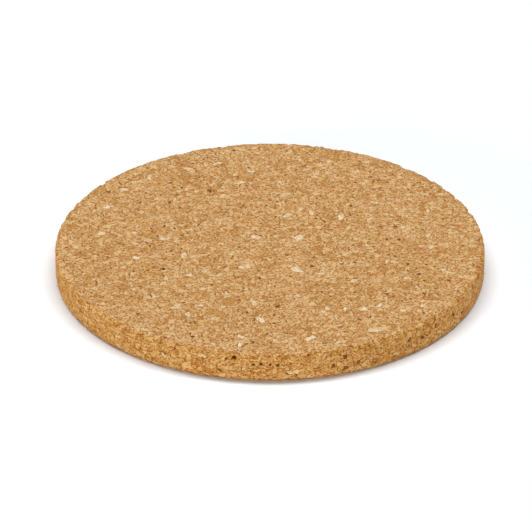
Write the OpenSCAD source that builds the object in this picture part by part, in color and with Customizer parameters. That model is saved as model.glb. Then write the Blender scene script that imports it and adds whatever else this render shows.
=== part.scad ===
// Round cork coaster: a disc die-cut from pressed granulated cork.
// Its fine granules and their binder are one body. The coarse granules that show are
// separate solids, each bonded flush into its own pocket in the top face, the wall or the base.
// A pit is a pocket whose granule has fallen out.
// The origin is at the middle of the base, with +Z up.

/* [Disc] */
// Diameter of the coaster
disc_d = 100; // [80:1:140]
// Thickness of the pressed cork
disc_t = 7; // [6:0.5:14]
// Radius of the worn edge round the top face
top_edge_r = 0.5; // [0.2:0.1:1]
// Radius of the cut edge round the base
base_edge_r = 0.3; // [0.1:0.1:0.8]

/* [Coarse granules] */
// Longest pale flake
pale_len = 4.4; // [2.5:0.1:6]
// Longest tan granule
tan_len = 2.8; // [1.5:0.1:4]
// Longest bark speck
bark_len = 1.6; // [0.8:0.1:2.5]
// Longest pit
pit_len = 1.4; // [0.8:0.1:2]
// Smallest granule, as a share of the longest of its kind
least_size = 0.5; // [0.3:0.05:0.9]
// How far a granule reaches into the disc
granule_depth = 1.2; // [0.6:0.1:1.8]
// Film of binder between a granule and its pocket
binder_film = 0.04; // [0.02:0.01:0.1]
// Least cork left between two pockets
web = 0.6; // [0.4:0.1:1.5]
// Spacing of the places where a granule may sit
place_gap = 6.6; // [5:0.1:10]

/* [Mix] */
// Share of the places that hold a pale flake
pale_share = 0.25; // [0.1:0.05:0.4]
// Share of the places that hold a tan granule
tan_share = 0.2; // [0.1:0.05:0.3]
// Share of the places that hold a bark speck
bark_share = 0.25; // [0.1:0.05:0.3]
// Share of the places that are a pit
pit_share = 0.05; // [0:0.05:0.1]
// How far a granule on the wall may lean from level
rim_lean = 35; // [0:5:90]
// Starting number of the random scatter
scatter_seed = 7; // [1:1:99]

/* [Hidden] */

// What a place may hold: a coarse granule of one of three kinds, or a pit
PALE = 0;
TAN = 1;
BARK = 2;
PIT = 3;
kind_len = [pale_len, tan_len, bark_len, pit_len];
// Width on a face, and the thickness that the press leaves on the wall, as shares of the length
kind_width = [0.5, 0.8, 0.7, 0.7];
kind_thickness = [0.3, 0.55, 0.65, 0.8];
kind_corners = [8, 7, 5, 5];
kind_colour = ["#e3c296", "#bd8650", "#6e4526"];
cork_colour = "#ca9d68";
// Share of its radius by which a granule's corner may be drawn in
corner_play = 0.32;

// What stands out on the top face: X, Y, kind, length as a share of the longest of its kind, and turn
bold_top = [
    [-24.3, 2.3, PALE, 1, 10], [-28.7, 1.3, PALE, 0.68, 20], [-38.3, 17.4, PALE, 0.73, 20],
    [-41.5, 15.6, PALE, 0.5, 40], [21.2, -30, PALE, 0.68, 10], [24.6, -28.3, PALE, 0.55, 40],
    [16.8, 13, PALE, 0.95, 87], [-5.8, -11, PALE, 0.86, 12], [-10.5, 22.5, PALE, 0.95, 137],
    [-19.3, 35.8, PALE, 1, 139], [-7.3, 29.4, PALE, 0.8, 10], [-39.4, 4.5, PALE, 0.73, 29],
    [-8.4, 33.4, PALE, 0.55, 70], [-18.4, -32.5, PALE, 0.77, 84], [-8.3, -4.5, PALE, 0.61, 127],
    [16.8, -29.9, PALE, 0.5, 120], [-18.6, -14.7, PALE, 0.59, 10], [19.3, -17.1, PALE, 0.82, 38],
    [-29, 32, PALE, 0.68, 98], [-9.7, -23.1, PALE, 0.59, 113], [-3.7, -27.2, PALE, 0.86, 113],
    [-17.5, 11, PALE, 0.55, 77], [-26.4, -23.9, PALE, 0.64, 108], [39.6, -12.3, PALE, 0.68, 31],
    [6.9, 2.5, PALE, 1, 77], [-16, -28.4, PALE, 0.64, 6], [37.5, 15.4, PALE, 0.55, 78],
    [36.5, 11.6, PALE, 0.59, 173], [-15.1, -12.8, PALE, 0.59, 21], [11.5, -14.1, PALE, 0.59, 18],
    [16.8, 0.3, PALE, 0.59, 36], [-31.3, -14.3, PALE, 0.57, 82], [-33.8, -11.1, PALE, 0.55, 47],
    [9.8, 14.5, PALE, 0.64, 95], [42.8, 7.7, PALE, 0.55, 154], [31.2, -16.1, PALE, 0.64, 14],
    [28.5, 21.3, PALE, 0.57, 15], [24.9, 19.4, PALE, 0.64, 178], [-4.5, 34.9, PALE, 0.52, 14],
    [-11.3, 27, PALE, 0.52, 113], [-12.6, 39.2, PALE, 0.82, 23], [37.6, -1.7, PALE, 0.68, 70],
    [34.5, -28.3, PALE, 0.57, 48], [12.7, -29.4, PALE, 0.55, 98], [-6.7, -45.3, PALE, 0.59, 97],
    [-31.6, 4.9, PALE, 0.45, 170], [6.3, -24.1, PALE, 0.45, 150], [-11.4, -14.4, PALE, 0.5, 85],
    [-21.8, -38.3, PALE, 0.57, 71], [-18.7, 6.5, PALE, 0.68, 13],
    [29.5, 7.8, BARK, 0.94, 43], [9.7, -10.8, BARK, 1, 99], [40.7, -17.4, BARK, 1, 127],
    [19.3, -0.9, PIT, 0.86, 60], [44.8, -1.2, BARK, 0.87, 107], [-3.9, -44.1, BARK, 0.87, 102],
    [5.5, 6.5, BARK, 0.87, 29], [-22, -8.6, PIT, 0.86, 42], [-24.9, 8.2, BARK, 0.87, 50],
    [-23.7, 29.5, BARK, 0.87, 54], [31.7, -9.7, BARK, 0.87, 86], [-38.7, 24.7, BARK, 1, 98],
    [34.9, -23.2, BARK, 0.87, 91], [1.7, -28.9, BARK, 0.87, 48],
];
// What stands out on the front of the wall: angle, depth below the top face, kind, length as
// the same share, and turn, which is 90 for a level one
bold_rim = [
    [260.9, 1.1, PIT, 1, 93], [258.8, 1.5, PIT, 0.57, 27], [265.7, 2.6, PIT, 0.79, 81],
    [267.8, 2.4, PIT, 0.79, 85], [270, 2.5, PIT, 0.57, 0], [272, 2.7, PIT, 0.71, 37],
    [326, 2.8, PIT, 1, 115],
    [308.5, 2.6, BARK, 1, 21], [289.4, 2.1, BARK, 1, 174], [286.3, 3.8, BARK, 0.81, 26],
    [257.2, 4.5, BARK, 0.62, 119], [318, 2.4, BARK, 0.75, 160], [331, 4.3, BARK, 0.69, 129],
    [339.2, 3.1, BARK, 0.69, 131], [245, 1.2, BARK, 0.56, 95], [293.1, 4.2, BARK, 0.69, 171],
    [252.6, 1.6, PALE, 0.73, 88], [304.2, 5, PALE, 0.73, 83], [263.4, 4, PALE, 0.45, 120],
    [241.7, 3.5, PALE, 0.59, 148], [319.8, 4.7, PALE, 0.64, 120], [260.4, 4.9, PALE, 0.45, 100],
    [237.4, 5.2, PALE, 0.36, 101], [230.5, 1.7, PALE, 0.32, 67], [298.4, 1.5, PALE, 0.36, 71],
    [275.7, 4.6, PALE, 0.91, 93],
];

disc_r = disc_d / 2;
longest = max(kind_len);
// A granule strays from its place as far as the web allows
stray = max(0, (place_gap - web - longest) / 2);
// The face granules stay inside the ring of rim granules
field_r = disc_r - granule_depth - web;
face_r = field_r - longest / 2 - stray;
// Points on a golden-angle spiral lie no closer than 1.6 of its steps
golden_angle = 137.508;
spiral_step = place_gap / 1.6;
face_places = floor(pow(face_r / spiral_step, 2));
// The rim granules are spaced at their inner ends
rim_places = floor(180 / asin(place_gap / (disc_d - 2 * granule_depth)));
// The rim granules stay on the straight band of the wall
band_low = base_edge_r + web;
band_high = disc_t - top_edge_r - web;
// Cuts run past the surface by this much
overcut = 1;
// Facets round the disc, and round one of its edges
disc_fn = 180;
edge_fn = 32;
// Starting numbers that keep the scatters apart
rim_seed = 1000;
base_seed = 2000;
bold_seed = 3000;

// A granule is a list of its X, Y, kind, length, turn, seed, and width as a share of the length.
// On the wall X is its angle, Y its height, and its thickness stands for the width.
function x_of(granule) = granule[0];
function y_of(granule) = granule[1];
function kind_of(granule) = granule[2];
function len_of(granule) = granule[3];
function turn_of(granule) = granule[4];
function seed_of(granule) = granule[5];
function width_of(granule) = granule[6];

// The kind that a draw from 0 to 1 gives, or undef for plain cork
function kind_from(draw) =
    draw < pale_share ? PALE :
    draw < pale_share + tan_share ? TAN :
    draw < pale_share + tan_share + bark_share ? BARK :
    draw < pale_share + tan_share + bark_share + pit_share ? PIT : undef;

function granule_len(kind, draw) = kind_len[kind] * (least_size + (1 - least_size) * draw);

// Granules over a flat face, on a spiral and a little astray
function face_granules(seed) = [
    for (i = [1 : face_places])
        let (
            draw = rands(0, 1, 5, seed + i),
            kind = kind_from(draw[0]),
            r = spiral_step * sqrt(i),
            a = golden_angle * i,
            astray = stray * draw[1],
            way = 360 * draw[2]
        )
        if (!is_undef(kind)) [
            r * cos(a) + astray * cos(way),
            r * sin(a) + astray * sin(way),
            kind,
            granule_len(kind, draw[3]),
            360 * draw[4],
            seed + i,
            kind_width[kind],
        ]
];

// Granules round the wall, evenly spaced, at any height that keeps them on the straight band
function wall_granules(seed) = [
    for (i = [1 : rim_places])
        let (
            draw = rands(0, 1, 4, seed + i),
            kind = kind_from(draw[0])
        )
        if (!is_undef(kind))
            let (len = min(granule_len(kind, draw[1]), band_high - band_low)) [
                360 * i / rim_places,
                band_low + len / 2 + (band_high - band_low - len) * draw[2],
                kind,
                len,
                90 + rands(-rim_lean, rim_lean, 1, seed + i)[0],
                seed + i,
                kind_thickness[kind],
            ]
];

// The bold ones that the disc is wide enough for
function bold_face_granules(places, seed) = [
    for (i = [0 : len(places) - 1])
        let (
            p = places[i],
            g = [p[0], p[1], p[2], kind_len[p[2]] * p[3], p[4], seed + i, kind_width[p[2]]]
        )
        if (norm([x_of(g), y_of(g)]) + len_of(g) / 2 < field_r) g
];

// The bold ones that the disc is thick enough for
function bold_wall_granules(places, seed) = [
    for (i = [0 : len(places) - 1])
        let (
            p = places[i],
            g = [p[0], disc_t - p[1], p[2], kind_len[p[2]] * p[3], p[4], seed + i, kind_thickness[p[2]]]
        )
        if (y_of(g) - half_height(g) > base_edge_r && y_of(g) + half_height(g) < disc_t - top_edge_r) g
];

// Half the height of a granule on the wall
function half_height(granule) =
    len_of(granule) / 2 * norm([cos(turn_of(granule)), width_of(granule) * sin(turn_of(granule))]);

// The length of one unit of X is x_unit, which differs only for an angle
function apart(a, b, x_unit) =
    norm([(x_of(a) - x_of(b)) * x_unit, y_of(a) - y_of(b)]) > (len_of(a) + len_of(b)) / 2 + web;

function is_clear(granule, others, x_unit) =
    len([for (other = others) if (!apart(granule, other, x_unit)) other]) == 0;

// The granules that leave room for every one kept before them
function spaced(granules, x_unit = 1, kept = [], i = 0) =
    i == len(granules) ? kept :
    spaced(
        granules,
        x_unit,
        is_clear(granules[i], kept, x_unit) ? concat(kept, [granules[i]]) : kept,
        i + 1
    );

// The bold ones come first
top_granules = spaced(concat(
    bold_face_granules(bold_top, scatter_seed + bold_seed),
    face_granules(scatter_seed)
));
rim_granules = spaced(
    concat(
        bold_wall_granules(bold_rim, scatter_seed + bold_seed + rim_seed),
        wall_granules(scatter_seed + rim_seed)
    ),
    x_unit = disc_r * PI / 180
);
base_granules = face_granules(scatter_seed + base_seed);

// Uneven outline of a granule. Its corners lie within its length, and film moves each one outwards.
function outline(granule, film) =
    let (
        corners = kind_corners[kind_of(granule)],
        draw = rands(1 - corner_play, 1, corners, seed_of(granule))
    )
    [
        for (i = [0 : corners - 1])
            let (
                a = 360 * i / corners,
                r = len_of(granule) / 2 * draw[i],
                corner = [r * cos(a), r * width_of(granule) * sin(a)]
            )
            corner * (1 + film / norm(corner))
    ];

// A granule that reaches in from Z = 0, and stands out below it by proud
module granule_prism(granule, film = 0, proud = 0) {
    translate([0, 0, -proud])
        linear_extrude(granule_depth + film + proud)
            rotate(turn_of(granule))
                polygon(outline(granule, film));
}

// What is cut away for a granule and its film of binder
module pocket(granule) {
    granule_prism(granule, film = binder_film, proud = overcut);
}

module place_on_base(granule) {
    translate([x_of(granule), y_of(granule), 0]) children();
}

module place_on_top(granule) {
    translate([x_of(granule), y_of(granule), disc_t]) mirror([0, 0, 1]) children();
}

module place_on_wall(granule) {
    rotate([0, 0, x_of(granule)])
        translate([disc_r, 0, y_of(granule)])
            rotate([0, -90, 0])
                children();
}

function of_kind(granules, kind) = [for (g = granules) if (kind_of(g) == kind) g];

module top_granules_of(kind) {
    color(kind_colour[kind])
        for (g = of_kind(top_granules, kind)) place_on_top(g) granule_prism(g);
}

module base_granules_of(kind) {
    color(kind_colour[kind])
        for (g = of_kind(base_granules, kind)) place_on_base(g) granule_prism(g);
}

// The wall's curve cuts the outer ends of the rim granules
module rim_granules_of(kind) {
    color(kind_colour[kind])
        intersection() {
            cylinder(d = disc_d, h = disc_t, $fn = disc_fn);
            for (g = of_kind(rim_granules, kind))
                place_on_wall(g) granule_prism(g, proud = overcut);
        }
}

// Half section of the disc, with both edges rounded
module disc_section() {
    square([disc_r - base_edge_r, disc_t / 2]);
    translate([0, disc_t / 2]) square([disc_r - top_edge_r, disc_t / 2]);
    translate([0, base_edge_r]) square([disc_r, disc_t - top_edge_r - base_edge_r]);
    translate([disc_r - top_edge_r, disc_t - top_edge_r]) circle(top_edge_r, $fn = edge_fn);
    translate([disc_r - base_edge_r, base_edge_r]) circle(base_edge_r, $fn = edge_fn);
}

module cork_disc() {
    color(cork_colour)
        difference() {
            rotate_extrude($fn = disc_fn) disc_section();
            for (g = top_granules) place_on_top(g) pocket(g);
            for (g = rim_granules) place_on_wall(g) pocket(g);
            for (g = base_granules) place_on_base(g) pocket(g);
        }
}

cork_disc();
top_granules_of(PALE);  // top_pale_flakes
top_granules_of(TAN);  // top_tan_granules
top_granules_of(BARK);  // top_bark_specks
rim_granules_of(PALE);  // rim_pale_flakes
rim_granules_of(TAN);  // rim_tan_granules
rim_granules_of(BARK);  // rim_bark_specks
base_granules_of(PALE);  // base_pale_flakes
base_granules_of(TAN);  // base_tan_granules
base_granules_of(BARK);  // base_bark_specks
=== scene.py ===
"""Dresses the round cork coaster: its pressed disc, the coarse granules bonded into it, and the stage."""

import math

import bpy
from bpy.props import FloatProperty, FloatVectorProperty, PointerProperty
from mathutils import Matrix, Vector


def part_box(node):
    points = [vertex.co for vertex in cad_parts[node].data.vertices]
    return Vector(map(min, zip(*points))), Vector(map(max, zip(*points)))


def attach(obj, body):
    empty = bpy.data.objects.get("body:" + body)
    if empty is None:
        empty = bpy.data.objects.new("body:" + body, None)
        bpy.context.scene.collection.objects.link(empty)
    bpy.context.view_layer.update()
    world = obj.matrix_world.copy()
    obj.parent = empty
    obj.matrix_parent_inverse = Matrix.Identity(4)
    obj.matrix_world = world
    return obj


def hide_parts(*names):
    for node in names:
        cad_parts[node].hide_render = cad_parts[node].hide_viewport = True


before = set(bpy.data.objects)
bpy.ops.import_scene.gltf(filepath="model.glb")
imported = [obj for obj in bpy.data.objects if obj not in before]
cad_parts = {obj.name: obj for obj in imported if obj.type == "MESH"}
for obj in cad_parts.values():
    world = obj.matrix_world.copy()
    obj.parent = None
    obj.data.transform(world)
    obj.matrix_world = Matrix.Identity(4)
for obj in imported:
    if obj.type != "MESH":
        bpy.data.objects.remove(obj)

bl_info = {
    "name": "Cork coaster",
    "version": (1, 0, 0),
    "blender": (4, 5, 0),
    "location": "View3D > Sidebar > Coaster",
    "description": "Dresses a round coaster of pressed granulated cork",
    "category": "Object",
}

MM = 0.001
NEAR = 0.1 * MM

# Added to the cutters' sizes, so that they stand out of what they cut
CUTTER_REACH = 1 * MM
WASTE_REACH = 2 * MM

# Half the width of the uneven border between the wall's painted shade and the faces'
WALL_BORDER = 0.8 * MM

SMOOTH_BELOW = math.radians(50)
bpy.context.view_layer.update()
DISC_LOW, DISC_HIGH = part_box("cork_disc")
RADIUS = (DISC_HIGH.x - DISC_LOW.x) / 2
THICKNESS = DISC_HIGH.z - DISC_LOW.z

# The kinds of coarse granule, and the surfaces that hold them
KINDS = ("pale_flakes", "tan_granules", "bark_specks")
SURFACES = ("top", "rim", "base")


def srgb(red, green, blue):
    """A colour seen on screen, each part from 0 to 255, as the linear colour that Blender works in."""

    def linear(part):
        part /= 255
        return part / 12.92 if part <= 0.04045 else ((part + 0.055) / 1.055) ** 2.4

    return tuple(linear(part) for part in (red, green, blue))


def length(name, description, default):
    return FloatProperty(
        name=name, description=description, default=default, min=0, unit="LENGTH", subtype="DISTANCE",
        precision=5,
    )


def colour(name, description, *seen):
    return FloatVectorProperty(
        name=name, description=description, default=srgb(*seen), min=0, max=1, size=3, subtype="COLOR"
    )


def share(name, description, default, most=1.0):
    return FloatProperty(
        name=name, description=description, default=default, min=0, max=most, subtype="FACTOR"
    )


class CorkDiscSettings(bpy.types.PropertyGroup):
    """Sizes of the pressed disc's form and relief"""

    mesh_step: length("Mesh step", "Spacing of the points on the disc's surface", 0.5 * MM)
    top_edge: length("Top edge", "Radius of the worn edge round the top face", 0.5 * MM)
    base_edge: length("Base edge", "Radius of the cut edge round the base", 0.3 * MM)
    skin: length("Skin", "How far the whole surface lies below the solid's", 0.01 * MM)
    unevenness: length("Unevenness", "Difference in height between one granule and the next", 0.12 * MM)
    seam_depth: length("Seam depth", "Depth of the seams between granules", 0.08 * MM)
    fleck_depth: length("Fleck depth", "Depth of the pits at the dark flecks", 0.3 * MM)
    chip_depth: length("Chip depth", "Deepest chip along the top edge", 0.5 * MM)
    chip_size: length("Chip size", "Spacing of the chips along the top edge", 1.8 * MM)
    chip_reach: length("Chip reach", "How far the chips reach from the top edge", 1.2 * MM)
    base_wear: length("Base wear", "How far the base edge is worn away", 0.3 * MM)
    base_wear_reach: length("Base wear reach", "How far the wear reaches from the base edge", 0.7 * MM)


class GranuleSettings(bpy.types.PropertyGroup):
    """Sizes of the coarse granules' form"""

    mesh_step: length("Mesh step", "Spacing of the points on a granule's surface", 0.16 * MM)
    wander: length("Wander", "How far a granule's outline wanders", 0.6 * MM)
    wander_size: length("Wander size", "Length of one wave of the outline", 0.8 * MM)
    sink: length("Sink", "How far a granule lies below the solid's surface", 0.02 * MM)
    unevenness: length("Unevenness", "Unevenness of a granule's face", 0.1 * MM)
    film: length("Film", "Gap that the binder fills round a granule", 0.02 * MM)
    swell: length("Swell", "How far a granule is swollen to take in its whole pocket", 0.12 * MM)


class CorkColours(bpy.types.PropertyGroup):
    """Colours of the cork"""

    darkest: colour("Darkest", "The darkest granules", 167, 118, 63)
    dark: colour("Dark", "Dark granules", 200, 157, 102)
    middle: colour("Middle", "Most of the granules", 213, 179, 130)
    pale: colour("Pale", "Pale granules", 222, 195, 154)
    palest: colour("Palest", "The palest flakes", 238, 221, 191)
    # The seam colour is also painted inside the pits, as their shade
    seam: colour("Seam", "The binder in the seams between granules", 146, 88, 30)
    fleck: colour("Fleck", "The dark flecks", 116, 64, 12)
    bark: colour("Bark", "The specks of bark", 120, 60, 12)
    warmth: colour("Warmth", "Shade laid over the warmer patches", 255, 247, 236)
    # Painted shade: the wall is darker and deeper in hue than the faces, as the light falling on it makes it
    cut_wall_and_painted_shade: colour("Cut wall", "Shade laid over the wall, which was cut with a die", 243, 229, 198)


class StageSettings(bpy.types.PropertyGroup):
    """The view and the light"""

    view_height: FloatProperty(
        name="View height", description="Angle at which the camera looks down", default=math.radians(30.07),
        subtype="ANGLE",
    )
    view_distance: length("View distance", "From the camera to the point that it looks at", 0.75)
    focal_length: FloatProperty(
        name="Focal length", description="Focal length of the lens, in millimetres", default=217.6, min=1
    )
    aim: FloatVectorProperty(
        name="Aim", description="The point at the middle of the picture", size=3, subtype="TRANSLATION",
        default=(-0.92 * MM, -1.21 * MM, 1.4 * MM), precision=5,
    )
    ambient: share("Ambient", "Light from all round, as a share of what renders white as white", 0.05, 2.0)
    overhead: share("Overhead", "Light from above, as the same share", 1.23, 2.0)
    front_left: share("Front left", "Light from the front left, as the same share", 0.63, 2.0)
    front_right: share("Front right", "Light from the front right, as the same share", 0.42, 2.0)
    floor: colour("Floor", "Colour of the floor", 242, 246, 250)
    floor_glow: share("Floor glow", "Extra brightness of the floor to the eye alone", 0.02)
    floor_reach: length("Floor reach", "From the axis to where the floor starts to turn white", 0.2)


# Node helpers, which serve a material's tree and a relief's tree alike


def add_node(tree, kind, inputs=None, **settings):
    """Adds a node, sets it up, and links or sets each of its inputs."""
    made = tree.nodes.new(kind)
    for name, value in settings.items():
        setattr(made, name, value)
    for key, value in (inputs or {}).items():
        if isinstance(value, bpy.types.NodeSocket):
            tree.links.new(value, made.inputs[key])
        else:
            made.inputs[key].default_value = value
    return made


def calc(tree, operation, *values):
    made = add_node(tree, "ShaderNodeMath", dict(enumerate(values)), operation=operation)
    return made.outputs[0]


def vector(tree, operation, *values):
    made = add_node(tree, "ShaderNodeVectorMath", dict(enumerate(values)), operation=operation)
    return made.outputs["Value" if operation in ("LENGTH", "DOT_PRODUCT") else "Vector"]


def scaled(tree, value, factor):
    made = add_node(tree, "ShaderNodeVectorMath", {0: value, "Scale": factor}, operation="SCALE")
    return made.outputs["Vector"]


def parts(tree, value):
    return add_node(tree, "ShaderNodeSeparateXYZ", {0: value}).outputs


def fade(tree, value, start, end, low=0.0, high=1.0):
    """Low where value is at start, high where it is at end, and smooth between them."""
    made = add_node(
        tree, "ShaderNodeMapRange",
        {"Value": value, "From Min": start, "From Max": end, "To Min": low, "To Max": high},
        interpolation_type="SMOOTHSTEP",
    )
    return made.outputs["Result"]


def blend(tree, factor, first, second):
    made = add_node(tree, "ShaderNodeMix", {"Factor": factor, "A": first, "B": second}, data_type="FLOAT")
    return made.outputs["Result"]


def noise(tree, place, size, detail=2.0, roughness=0.5):
    """Soft noise whose waves are about size long, in the units of place."""
    return add_node(
        tree, "ShaderNodeTexNoise",
        {"Vector": place, "Scale": 1 / size, "Detail": detail, "Roughness": roughness},
    ).outputs


def cells(tree, place, size, feature="F1"):
    """Cells about size across, in the units of place."""
    return add_node(
        tree, "ShaderNodeTexVoronoi", {"Vector": place, "Scale": 1 / size}, feature=feature
    ).outputs


def astray(tree, place, size, reach):
    """The place, moved about by up to reach each way."""
    way = vector(tree, "SUBTRACT", noise(tree, place, size)["Color"], (0.5, 0.5, 0.5))
    return vector(tree, "ADD", place, scaled(tree, way, 2 * reach))


# Sizes of the fine granules, in millimetres
GRANULE = 1.25
CRUMB = 0.45
FLECK_GAP = 0.9

# Sizes of the patches of shade, in millimetres
FUZZ = 0.26
WARM_PATCH = 2.0
COARSE_GRANULE = 5.0
DRIFT = 9.0

# How many times wider than high the press leaves them
FLATTENING = 1.45


def grain(tree, position):
    """The fine granules at a position in metres: tone, seam, fleck and rise, each from 0 to 1."""
    place = vector(tree, "MULTIPLY", position, (1 / MM, 1 / MM, FLATTENING / MM))
    ragged = astray(tree, astray(tree, place, 1.4, 0.55), 0.35, 0.2)
    granule = cells(tree, ragged, GRANULE)
    granule_edge = cells(tree, ragged, GRANULE, "DISTANCE_TO_EDGE")["Distance"]
    crumb = cells(tree, ragged, CRUMB)
    tone, whole, height = parts(tree, granule["Color"])
    crumb_tone, crumb_height, _ = parts(tree, crumb["Color"])

    # Some of the granules are whole, and the rest are broken into crumbs
    broken = fade(tree, whole, 0.5, 0.3, 0.3, 0.9)
    tone = blend(tree, broken, tone, crumb_tone)
    tone = calc(tree, "ADD", tone, fade(tree, whole, 0.88, 0.96, 0.0, 0.32))
    rise = blend(tree, calc(tree, "MULTIPLY", broken, 0.6), height, crumb_height)

    gap = fade(tree, noise(tree, place, 0.5)["Fac"], 0.48, 0.56)
    seam = calc(tree, "MULTIPLY", fade(tree, granule_edge, 0.24, 0.04), gap)

    spot = cells(tree, ragged, FLECK_GAP)
    chance, spread, _ = parts(tree, spot["Color"])
    reach = fade(tree, spread, 0.3, 1.0, 0.1, 0.34)
    fleck = calc(tree, "MULTIPLY", calc(tree, "LESS_THAN", chance, 0.4),
                 fade(tree, calc(tree, "SUBTRACT", spot["Distance"], reach), 0.1, -0.06))
    return {"place": place, "tone": tone, "seam": seam, "fleck": fleck, "rise": rise}


def mixed(tree, factor, first, second, blend_type="MIX"):
    """A colour, mixed with or multiplied by a second one as far as factor says."""
    made = add_node(tree, "ShaderNodeMix", data_type="RGBA", blend_type=blend_type)
    sockets = {socket.identifier: socket for socket in made.inputs}
    for key, value in (("Factor_Float", factor), ("A_Color", first), ("B_Color", second)):
        if isinstance(value, bpy.types.NodeSocket):
            tree.links.new(value, sockets[key])
        else:
            sockets[key].default_value = value if isinstance(value, float) else (*value, 1)
    return next(socket for socket in made.outputs if socket.identifier == "Result_Color")


def ramp(tree, factor, colours):
    """Colours at even steps along a factor from 0 to 1."""
    made = add_node(tree, "ShaderNodeValToRGB", {"Fac": factor})
    stops = made.color_ramp.elements
    while len(stops) < len(colours):
        stops.new(0.5)
    for i, shade in enumerate(colours):
        stops[i].position = i / (len(colours) - 1)
        stops[i].color = (*shade, 1)
    return made.outputs["Color"]


def cork_material(name, spread=1.0, lift=0.0, vary=0.0, marks=1.0, stain=0.0):
    """Cork of many fine shades, with dark seams and flecks, and painted shade in its pits and on its wall.

    Spread and lift set the range of its shades, vary how far one coarse granule's shade differs from
    the next one's, marks how strong its seams and flecks are, and stain how far it is coloured as bark.
    """
    colours = bpy.context.scene.coaster_colours
    material = bpy.data.materials.new(name)
    material.use_nodes = True
    tree = material.node_tree
    shader = tree.nodes["Principled BSDF"]
    shader.inputs["Specular IOR Level"].default_value = 0.05
    position = add_node(tree, "ShaderNodeTexCoord").outputs["Object"]
    field = grain(tree, position)
    place = field["place"]
    cut = cut_wall_and_painted_shade(tree, position, place)
    fuzz = noise(tree, place, FUZZ, 2.0, 0.6)["Fac"]
    drift = noise(tree, place, DRIFT, 1.0)["Fac"]

    # The wall has the wider range of shades
    tone = calc(tree, "MULTIPLY_ADD", field["tone"], 0.65, calc(tree, "MULTIPLY", fuzz, 0.8))
    tone = calc(tree, "MULTIPLY_ADD", drift, 0.2, tone)
    tone = calc(tree, "SUBTRACT", fade(tree, tone, 0.4, 1.3), 0.5)
    tone = calc(tree, "MULTIPLY", tone, fade(tree, cut, 0.0, 1.0, spread, 1.05 * spread))
    tone = calc(tree, "ADD", tone, 0.5 * spread + lift)
    if vary:
        around = parts(tree, cells(tree, place, COARSE_GRANULE)["Color"])[0]
        tone = calc(tree, "MULTIPLY_ADD", calc(tree, "SUBTRACT", around, 0.5), vary, tone)
    shade = ramp(tree, tone, (colours.darkest, colours.dark, colours.middle, colours.pale, colours.palest))
    warm = fade(tree, noise(tree, place, WARM_PATCH)["Fac"], 0.3, 0.7)
    shade = mixed(tree, warm, shade, colours.warmth, "MULTIPLY")

    # The seams show more on the wall, and the flecks less
    seam = calc(tree, "MULTIPLY", field["seam"], fade(tree, cut, 0.0, 1.0, 0.85 * marks, 0.9 * marks))
    fleck = calc(tree, "MULTIPLY", field["fleck"], fade(tree, cut, 0.0, 1.0, marks, 0.8 * marks))
    shade = mixed(tree, seam, shade, colours.seam)
    shade = mixed(tree, fleck, shade, colours.fleck)
    shade = mixed(tree, stain, shade, colours.bark)
    # Painted shade inside the pits, in the seam colour
    shade = mixed(tree, painted_pit_shade(tree, position), shade, colours.seam)
    # Painted shade over the wall, darker and deeper in hue than the faces
    shade = mixed(tree, cut, shade, colours.cut_wall_and_painted_shade, "MULTIPLY")
    tree.links.new(shade, shader.inputs["Base Color"])

    rise = calc(tree, "ADD", field["rise"], fuzz)
    rise = calc(tree, "MULTIPLY_ADD", field["seam"], -1.2 * marks, rise)
    bump = add_node(tree, "ShaderNodeBump", {"Height": rise, "Distance": 0.1 * MM, "Strength": 0.45})
    tree.links.new(bump.outputs["Normal"], shader.inputs["Normal"])

    # Cut cork is dull, and the binder in its seams has a faint gloss
    rough = calc(tree, "MULTIPLY_ADD", fuzz, 0.2, 0.72)
    rough = calc(tree, "MULTIPLY_ADD", field["seam"], -0.2, rough)
    tree.links.new(rough, shader.inputs["Roughness"])
    return material


def from_axis_of(tree, position):
    return vector(tree, "LENGTH", vector(tree, "MULTIPLY", position, (1, 1, 0)))


def painted_pit_shade(tree, position):
    """Painted shade inside the pits: above 0 well below the surface, as in a pit, but not along the chipped
    top edge.
    """
    z = parts(tree, position)[2]
    from_wall = calc(tree, "SUBTRACT", RADIUS, from_axis_of(tree, position))
    below_top = calc(tree, "SUBTRACT", THICKNESS, z)
    depth = calc(tree, "MINIMUM", from_wall, calc(tree, "MINIMUM", z, below_top))
    from_edge = calc(tree, "MAXIMUM", from_wall, below_top)
    deep = fade(tree, depth, 0.2 * MM, 0.5 * MM, 0.0, 0.8)
    return calc(tree, "MULTIPLY", deep, fade(tree, from_edge, 0.5 * MM, 1 * MM))


def cut_wall_and_painted_shade(tree, position, place):
    """1 on the wall that the die cut, 0 on the faces, and uneven between them; it also places the wall's
    painted shade.
    """
    from_axis = from_axis_of(tree, position)
    uneven = calc(tree, "MULTIPLY_ADD", noise(tree, place, 1.0)["Fac"], 2 * WALL_BORDER, from_axis)
    return fade(tree, uneven, RADIUS - WALL_BORDER, RADIUS + WALL_BORDER)


# Relief


def relief_tree(name, make_offset):
    """A geometry tree that moves every point by what make_offset works out from its position and normal."""
    tree = bpy.data.node_groups.new(name, "GeometryNodeTree")
    tree.interface.new_socket("Geometry", in_out="INPUT", socket_type="NodeSocketGeometry")
    tree.interface.new_socket("Geometry", in_out="OUTPUT", socket_type="NodeSocketGeometry")
    source = tree.nodes.new("NodeGroupInput")
    target = tree.nodes.new("NodeGroupOutput")
    position = tree.nodes.new("GeometryNodeInputPosition").outputs[0]
    normal = tree.nodes.new("GeometryNodeInputNormal").outputs[0]
    offset = make_offset(tree, position, normal)
    move = add_node(tree, "GeometryNodeSetPosition", {"Geometry": source.outputs[0], "Offset": offset})
    tree.links.new(move.outputs[0], target.inputs[0])
    return tree


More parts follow.
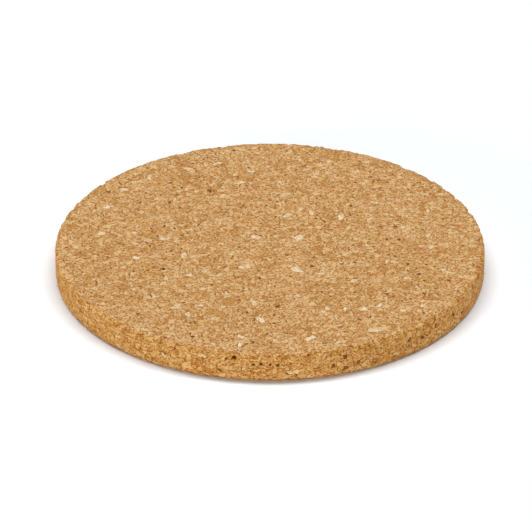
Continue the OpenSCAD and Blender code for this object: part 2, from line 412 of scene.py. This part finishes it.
def apply_modifier(piece, kind, **settings):
    """Adds a modifier, sets it up and applies it."""
    bpy.context.view_layer.objects.active = piece
    modifier = piece.modifiers.new(kind.lower(), kind)
    for name, value in settings.items():
        setattr(modifier, name, value)
    bpy.ops.object.modifier_apply(modifier=modifier.name)


def only(piece):
    """Selects one piece alone and makes it active."""
    bpy.ops.object.select_all(action="DESELECT")
    piece.hide_set(False)
    piece.select_set(True)
    bpy.context.view_layer.objects.active = piece


def copy_of(source, name):
    """A copy of an object's mesh in a new object, with its doubles merged."""
    piece = bpy.data.objects.new(name, source.data.copy())
    piece.data.materials.clear()
    bpy.context.scene.collection.objects.link(piece)
    only(piece)
    bpy.ops.object.mode_set(mode="EDIT")
    bpy.ops.mesh.select_all(action="SELECT")
    bpy.ops.mesh.remove_doubles(threshold=1e-6)
    bpy.ops.object.mode_set(mode="OBJECT")
    return piece


def hand_over(piece, node, material):
    """Gives a finished piece its material and its place in the assembly."""
    piece.data.materials.clear()
    piece.data.materials.append(material)
    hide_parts(node)
    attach(piece, "root")


def outward(tree, position, surface):
    """The way out of the disc at a surface."""
    if surface == "rim":
        return vector(tree, "NORMALIZE", vector(tree, "MULTIPLY", position, (1, 1, 0)))
    return (0, 0, 1) if surface == "top" else (0, 0, -1)


def granule_tree(surface, sizes):
    """Wanders a granule's outline along its surface, sinks its face a little and makes it uneven."""

    def offset(tree, position, normal):
        place = scaled(tree, position, 1 / MM)
        out = outward(tree, position, surface)
        wave = noise(tree, place, sizes.wander_size / MM)["Color"]
        ripple = noise(tree, place, 0.4 * sizes.wander_size / MM)["Color"]
        wave = vector(tree, "ADD", wave, scaled(tree, vector(tree, "SUBTRACT", ripple, (0.5, 0.5, 0.5)), 0.5))
        way = scaled(tree, vector(tree, "SUBTRACT", wave, (0.5, 0.5, 0.5)), 2 * sizes.wander)
        along = vector(tree, "SUBTRACT", way, vector(tree, "PROJECT", way, out))
        low = calc(tree, "MULTIPLY_ADD", noise(tree, place, 0.7)["Fac"], -sizes.unevenness, -sizes.sink)
        return vector(tree, "ADD", along, scaled(tree, out, low))

    return relief_tree(f"granule outline {surface}", offset)


def cutter_tree(surface, sizes):
    """Swells a granule by its film of binder, and lengthens it out of the surface."""

    def offset(tree, position, normal):
        out = outward(tree, position, surface)
        facing = calc(tree, "GREATER_THAN", vector(tree, "DOT_PRODUCT", normal, out), 0.5)
        swell = scaled(tree, normal, sizes.film)
        return vector(tree, "ADD", swell, scaled(tree, out, calc(tree, "MULTIPLY", facing, CUTTER_REACH)))

    return relief_tree(f"granule pocket {surface}", offset)


def make_granules(kind, material):
    """Models the granules of one kind on each surface from their solids."""
    sizes = bpy.context.scene.coaster_granules
    for surface in SURFACES:
        node = f"{surface}_{kind}"
        piece = copy_of(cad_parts[node], f"{node}_cork")
        apply_modifier(piece, "REMESH", mode="VOXEL", voxel_size=sizes.mesh_step)
        apply_modifier(piece, "NODES", node_group=granule_tree(surface, sizes))
        bpy.ops.object.shade_smooth_by_angle(angle=SMOOTH_BELOW)
        hand_over(piece, node, material)


def disc_relief(sizes):
    """Lowers the disc's surface at its lower granules, seams and flecks, and wears its edges."""

    def offset(tree, position, normal):
        field = grain(tree, position)
        z = parts(tree, position)[2]
        from_wall = calc(tree, "SUBTRACT", RADIUS, from_axis_of(tree, position))
        from_edge = calc(tree, "MAXIMUM", from_wall, calc(tree, "SUBTRACT", THICKNESS, z))
        near_edge = fade(tree, from_edge, sizes.chip_reach, 0.2 * sizes.chip_reach)
        uneven = astray(tree, field["place"], 1.2, 0.5)
        chip = parts(tree, cells(tree, uneven, sizes.chip_size / MM)["Color"])[0]
        chip = calc(tree, "MULTIPLY", fade(tree, chip, 0.45, 1.0), near_edge)
        sunk = calc(tree, "SUBTRACT", 1.0, field["rise"])
        depth = calc(tree, "MULTIPLY_ADD", sunk, sizes.unevenness, sizes.skin)
        depth = calc(tree, "MULTIPLY_ADD", field["seam"], sizes.seam_depth, depth)
        depth = calc(tree, "MULTIPLY_ADD", field["fleck"], sizes.fleck_depth, depth)
        depth = calc(tree, "MULTIPLY_ADD", chip, sizes.chip_depth, depth)
        wear = fade(tree, calc(tree, "MAXIMUM", from_wall, z), sizes.base_wear_reach, 0.0)
        depth = calc(tree, "MULTIPLY_ADD", wear, sizes.base_wear, depth)
        return scaled(tree, normal, calc(tree, "MULTIPLY", depth, -1.0))

    return relief_tree("disc relief", offset)


def select_edges(mesh, wanted):
    """Selects in edit mode the edges whose two ends are both wanted."""
    bpy.ops.object.mode_set(mode="OBJECT")
    for edge in mesh.edges:
        edge.select = all(wanted(mesh.vertices[i].co) for i in edge.vertices)
    bpy.ops.object.mode_set(mode="EDIT")


def granule_names():
    return [f"{surface}_{kind}" for kind in KINDS for surface in SURFACES]


class COASTER_OT_pale_flakes(bpy.types.Operator):
    """Models the coarse pale flakes in the top face, the wall and the base"""

    bl_idname = "coaster.pale_flakes"
    bl_label = "Pale flakes"

    def execute(self, context):
        material = cork_material("pale cork", spread=0.35, lift=0.61, vary=0.4, marks=0.45)
        make_granules("pale_flakes", material)
        return {"FINISHED"}


class COASTER_OT_tan_granules(bpy.types.Operator):
    """Models the coarse tan granules in the top face, the wall and the base"""

    bl_idname = "coaster.tan_granules"
    bl_label = "Tan granules"

    def execute(self, context):
        material = cork_material("tan cork", spread=0.5, lift=0.02, marks=0.6)
        make_granules("tan_granules", material)
        return {"FINISHED"}


class COASTER_OT_bark_specks(bpy.types.Operator):
    """Models the dark bark specks in the top face, the wall and the base"""

    bl_idname = "coaster.bark_specks"
    bl_label = "Bark specks"

    def execute(self, context):
        material = cork_material("bark", spread=0.8, stain=0.85)
        make_granules("bark_specks", material)
        return {"FINISHED"}


class COASTER_OT_cork_disc(bpy.types.Operator):
    """Models the pressed disc, with a pocket for each coarse granule"""

    bl_idname = "coaster.cork_disc"
    bl_label = "Cork disc"

    def execute(self, context):
        sizes = context.scene.coaster_disc
        bpy.ops.object.select_all(action="DESELECT")
        bpy.ops.mesh.primitive_cylinder_add(
            vertices=256, radius=RADIUS, depth=THICKNESS, location=(0, 0, THICKNESS / 2)
        )
        disc = context.active_object
        disc.name = disc.data.name = "pressed_cork_disc"
        bpy.ops.object.transform_apply(location=True, rotation=True, scale=True)
        bpy.ops.object.mode_set(mode="EDIT")
        bpy.ops.mesh.select_mode(type="EDGE")
        for height, edge in ((THICKNESS, sizes.top_edge), (0, sizes.base_edge)):
            bpy.ops.mesh.select_all(action="DESELECT")
            select_edges(disc.data, lambda co: abs(co.z - height) < NEAR and co.xy.length > RADIUS - NEAR)
            bpy.ops.mesh.bevel(offset=edge, segments=4, profile=0.5)
        bpy.ops.object.mode_set(mode="OBJECT")
        apply_modifier(disc, "REMESH", mode="VOXEL", voxel_size=sizes.mesh_step)
        apply_modifier(disc, "NODES", node_group=disc_relief(sizes))
        self.cut_pockets(context, disc)
        only(disc)
        bpy.ops.object.shade_smooth_by_angle(angle=SMOOTH_BELOW)
        hand_over(disc, "cork_disc", cork_material("pressed cork", spread=0.68))
        return {"FINISHED"}

    def cut_pockets(self, context, disc):
        """Cuts away what the granules fill, and the pits that the solid has."""
        sizes = context.scene.coaster_granules
        cutters = []
        fillers = []
        for name in granule_names():
            cutter = copy_of(bpy.data.objects[f"{name}_cork"], "pocket_cutter")
            apply_modifier(cutter, "NODES", node_group=cutter_tree(name.split("_")[0], sizes))
            cutters.append(cutter)
            filler = copy_of(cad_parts[name], "pocket_filler")
            apply_modifier(filler, "DISPLACE", strength=sizes.swell, mid_level=0)
            fillers.append(filler)

        # What is outside the solid, without the granules' own pockets, is the waste
        bpy.ops.object.select_all(action="DESELECT")
        bpy.ops.mesh.primitive_cylinder_add(
            vertices=64, radius=RADIUS + WASTE_REACH, depth=THICKNESS + WASTE_REACH,
            location=(0, 0, THICKNESS / 2),
        )
        waste = context.active_object
        bpy.ops.object.transform_apply(location=True, rotation=True, scale=True)
        cut_away(waste, copy_of(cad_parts["cork_disc"], "solid_with_pits"))
        cut_away(waste, joined(fillers))
        cut_away(disc, waste)

        # Granules may touch one another, so a remesh makes their pockets one closed surface
        pockets = joined(cutters)
        apply_modifier(pockets, "REMESH", mode="VOXEL", voxel_size=1.5 * sizes.mesh_step)
        apply_modifier(pockets, "DECIMATE", ratio=0.2)
        cut_away(disc, pockets)


def joined(pieces):
    """The pieces, joined into the first one."""
    only(pieces[0])
    for piece in pieces:
        piece.select_set(True)
    bpy.ops.object.join()
    return pieces[0]


def cut_away(piece, cutter):
    """Cuts a piece with a cutter, and takes the cutter away."""
    only(piece)
    apply_modifier(piece, "BOOLEAN", operation="DIFFERENCE", object=cutter, solver="MANIFOLD")
    bpy.data.objects.remove(cutter)


# Where each lamp stands, its width and its height, in metres
LAMPS = {
    "overhead": ((0, 0.12, 0.95), 1.2, 0.24),
    "front_left": ((-0.76, -0.64, 0.13), 0.4, 0.25),
    "front_right": ((0.67, -0.72, 0.13), 0.4, 0.25),
}


class COASTER_OT_stage(bpy.types.Operator):
    """Lays the floor and sets up the light and the camera"""

    bl_idname = "coaster.stage"
    bl_label = "Stage"

    def execute(self, context):
        setup = context.scene.coaster_stage
        context.scene.view_settings.view_transform = "Standard"
        self.lay_floor(context, setup)
        self.light_all_round(context, setup)
        for name, (place, width, height) in LAMPS.items():
            add_softbox(f"{name} softbox", getattr(setup, name), place, width, height)
        self.set_camera(context, setup)
        return {"FINISHED"}

    def lay_floor(self, context, setup):
        bpy.ops.object.select_all(action="DESELECT")
        bpy.ops.mesh.primitive_plane_add(size=4)
        floor = context.active_object
        floor.name = "floor"
        material = bpy.data.materials.new("pale floor")
        material.use_nodes = True
        tree = material.node_tree
        tree.nodes.clear()
        matt = add_node(tree, "ShaderNodeBsdfDiffuse", {"Color": (*setup.floor, 1)})
        away = from_axis_of(tree, add_node(tree, "ShaderNodeTexCoord").outputs["Object"])
        bright = fade(tree, away, setup.floor_reach, 4 * setup.floor_reach, setup.floor_glow, 1.0)
        bright = calc(tree, "MULTIPLY", seen_directly(tree), bright)
        glow = add_node(tree, "ShaderNodeEmission", {"Strength": bright})
        both = add_node(tree, "ShaderNodeAddShader", {0: matt.outputs[0], 1: glow.outputs[0]})
        add_node(tree, "ShaderNodeOutputMaterial", {"Surface": both.outputs[0]})
        floor.data.materials.append(material)

    def light_all_round(self, context, setup):
        world = bpy.data.worlds.new("studio")
        world.use_nodes = True
        context.scene.world = world
        tree = world.node_tree
        tree.nodes.clear()
        dim = add_node(tree, "ShaderNodeBackground", {"Color": (1, 1, 1, 1), "Strength": setup.ambient})
        white = add_node(tree, "ShaderNodeBackground", {"Color": (1, 1, 1, 1), "Strength": 1.0})
        mix = add_node(
            tree, "ShaderNodeMixShader", {0: seen_directly(tree), 1: dim.outputs[0], 2: white.outputs[0]}
        )
        add_node(tree, "ShaderNodeOutputWorld", {"Surface": mix.outputs[0]})

    def set_camera(self, context, setup):
        camera = bpy.data.objects.new("camera", bpy.data.cameras.new("camera"))
        context.scene.collection.objects.link(camera)
        camera.data.lens = setup.focal_length
        camera.data.clip_start = 0.01
        away = Vector((0, -math.cos(setup.view_height), math.sin(setup.view_height)))
        camera.location = Vector(setup.aim) + setup.view_distance * away
        camera.rotation_euler = (-away).to_track_quat("-Z", "Y").to_euler()
        context.scene.camera = camera


def seen_directly(tree):
    """1 for rays from the camera, or from it by way of gloss or glass."""
    ray = add_node(tree, "ShaderNodeLightPath").outputs
    seen = calc(tree, "MAXIMUM", ray["Is Camera Ray"], ray["Is Glossy Ray"])
    return calc(tree, "MAXIMUM", seen, ray["Is Transmission Ray"])


def add_softbox(name, brightness, place, width, height):
    """A lamp that faces the coaster and lights it with a share of what renders white as white."""
    lamp = bpy.data.lights.new(name, "AREA")
    lamp.shape = "RECTANGLE"
    lamp.size = width
    lamp.size_y = height
    towards = Vector((0, 0, THICKNESS)) - Vector(place)
    lamp.energy = brightness * (math.pi * towards.length) ** 2
    box = bpy.data.objects.new(name, lamp)
    box.location = place
    box.rotation_euler = towards.to_track_quat("-Z", "Y").to_euler()
    bpy.context.scene.collection.objects.link(box)


OPERATORS = (
    COASTER_OT_pale_flakes,
    COASTER_OT_tan_granules,
    COASTER_OT_bark_specks,
    COASTER_OT_cork_disc,
    COASTER_OT_stage,
)
SETTINGS = {
    "coaster_disc": CorkDiscSettings,
    "coaster_granules": GranuleSettings,
    "coaster_colours": CorkColours,
    "coaster_stage": StageSettings,
}


class COASTER_PT_panel(bpy.types.Panel):
    """Lists the coaster's pieces and settings"""

    bl_idname = "COASTER_PT_panel"
    bl_label = "Cork coaster"
    bl_space_type = "VIEW_3D"
    bl_region_type = "UI"
    bl_category = "Coaster"

    def draw(self, context):
        layout = self.layout
        for operator in OPERATORS:
            layout.operator(operator.bl_idname)
        for name, settings in SETTINGS.items():
            box = layout.box()
            box.label(text=settings.__doc__)
            for key in settings.__annotations__:
                box.prop(getattr(context.scene, name), key)


def register():
    for group in SETTINGS.values():
        bpy.utils.register_class(group)
    for name, group in SETTINGS.items():
        setattr(bpy.types.Scene, name, PointerProperty(type=group))
    for made in (*OPERATORS, COASTER_PT_panel):
        bpy.utils.register_class(made)


def unregister():
    for made in (COASTER_PT_panel, *reversed(OPERATORS)):
        bpy.utils.unregister_class(made)
    for name, group in SETTINGS.items():
        delattr(bpy.types.Scene, name)
        bpy.utils.unregister_class(group)


def main():
    register()
    bpy.ops.coaster.pale_flakes()
    bpy.ops.coaster.tan_granules()
    bpy.ops.coaster.bark_specks()
    bpy.ops.coaster.cork_disc()
    bpy.ops.coaster.stage()


if __name__ == "__main__":
    main()
